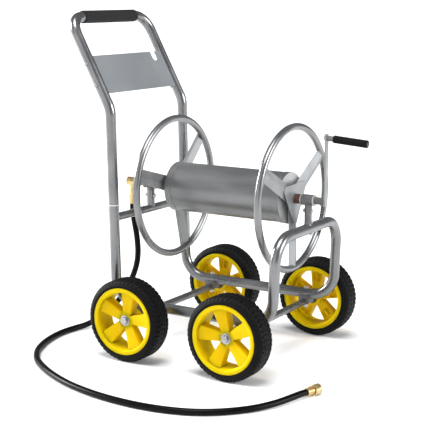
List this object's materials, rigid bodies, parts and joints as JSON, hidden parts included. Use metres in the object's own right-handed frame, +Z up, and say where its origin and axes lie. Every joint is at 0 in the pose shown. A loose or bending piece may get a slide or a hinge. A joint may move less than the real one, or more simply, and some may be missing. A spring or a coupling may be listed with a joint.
{
  "type": "hose reel cart",
  "caption": "Wheeled garden hose reel cart: bent tube frame, push handle with tool panel, cranked drum between guide rings, water inlet elbow and leader hose.",
  "frame": {"origin": "on the floor, below the middle of the cart without its leader hose", "axes": "+X forward to the front hoop and crank, +Y to the cart's left, +Z up"},
  "size_m": [0.9903, 0.9535, 1.047],
  "materials": {
    "frame_paint": "satin silver powder coat",
    "panel_paint": "satin grey powder coat",
    "drum_paint": "semi-gloss silver paint",
    "zinc": "zinc plated",
    "bearing_steel": "dark grey paint",
    "brass": "machined",
    "foam": "closed-cell foam",
    "hose_rubber": "smooth black rubber",
    "tyre": "moulded tread",
    "wheel_plastic": "moulded yellow plastic",
    "bush_plastic": "cream nylon",
    "spacer_plastic": "brown nylon",
    "dark_plastic": "black nylon"
  },
  "bodies": {
    "chassis": {"right_side_rail": "frame_paint", "left_side_rail": "frame_paint", "front_hoop": "frame_paint", "front_post": "frame_paint", "rear_crossbar": "frame_paint", "handle_hoop": "frame_paint", "handle_grip": "foam", "handle_screws": "zinc", "tool_panel": "panel_paint", "panel_bolts": "zinc", "panel_nuts": "zinc", "front_axle": "frame_paint", "rear_axle": "frame_paint", "axle_saddles": "bearing_steel", "axle_bolts": "zinc", "axle_nuts": "zinc", "wheel_bushes": "dark_plastic", "wheel_washers": "zinc", "wheel_bolts": "zinc", "front_bearing": "bearing_steel", "rear_bearing": "bearing_steel", "front_bushes": "bush_plastic", "rear_bushes": "bush_plastic", "post_bolts": "zinc", "post_nuts": "zinc", "inlet_ferrule": "brass", "leader_hose": "hose_rubber", "coupling_tail": "brass"},
    "reel": {"reel_shaft": "bearing_steel", "drum_shell": "drum_paint", "front_drum_cap": "drum_paint", "rear_drum_cap": "drum_paint", "front_ring": "frame_paint", "rear_ring": "frame_paint", "front_spider": "frame_paint", "rear_spider": "frame_paint", "front_hub": "frame_paint", "rear_hub": "frame_paint", "shaft_spacer": "spacer_plastic", "rear_collar": "zinc", "hub_screws": "zinc", "outlet_fitting": "brass", "inlet_adapter": "brass", "crank_arm": "frame_paint", "crank_roll_pin": "zinc", "crank_bolt": "zinc", "crank_nut": "zinc"},
    "crank_handle": {"crank_sleeve": "bearing_steel", "crank_grip": "foam"},
    "inlet": {"inlet_elbow": "brass", "inlet_seal": "hose_rubber"},
    "coupling": {"coupling_nut": "brass"},
    "wheel_front_right": {"tyre_front_right": "tyre", "rim_front_right": "wheel_plastic"},
    "wheel_front_left": {"tyre_front_left": "tyre", "rim_front_left": "wheel_plastic"},
    "wheel_rear_right": {"tyre_rear_right": "tyre", "rim_rear_right": "wheel_plastic"},
    "wheel_rear_left": {"tyre_rear_left": "tyre", "rim_rear_left": "wheel_plastic"}
  },
  "joints": [
    {"name": "reel_spin", "type": "hinge", "parent": "chassis", "child": "reel", "pos_m": [0, 0, 0.498], "axis": [1, 0, 0], "continuous": true},
    {"name": "crank_handle_spin", "type": "hinge", "parent": "reel", "child": "crank_handle", "pos_m": [0.335, 0, 0.6875], "axis": [0.9976, 0, -0.0698], "continuous": true},
    {"name": "inlet_swivel", "type": "hinge", "parent": "reel", "child": "inlet", "pos_m": [-0.361, 0, 0.498], "axis": [1, 0, 0], "continuous": true},
    {"name": "coupling_spin", "type": "hinge", "parent": "chassis", "child": "coupling", "pos_m": [0.441, -0.304, 0.0165], "axis": [0.28, 0.96, 0], "continuous": true},
    {"name": "wheel_front_right_spin", "type": "hinge", "parent": "chassis", "child": "wheel_front_right", "pos_m": [0.178, -0.28, 0.127], "axis": [0, 1, 0], "continuous": true},
    {"name": "wheel_front_left_spin", "type": "hinge", "parent": "chassis", "child": "wheel_front_left", "pos_m": [0.178, 0.28, 0.127], "axis": [0, 1, 0], "continuous": true},
    {"name": "wheel_rear_right_spin", "type": "hinge", "parent": "chassis", "child": "wheel_rear_right", "pos_m": [-0.178, -0.28, 0.127], "axis": [0, 1, 0], "continuous": true},
    {"name": "wheel_rear_left_spin", "type": "hinge", "parent": "chassis", "child": "wheel_rear_left", "pos_m": [-0.178, 0.28, 0.127], "axis": [0, 1, 0], "continuous": true}
  ],
  "couplings": [
    {"joint": "inlet_swivel", "follows": "reel_spin", "ratio": -1}
  ]
}
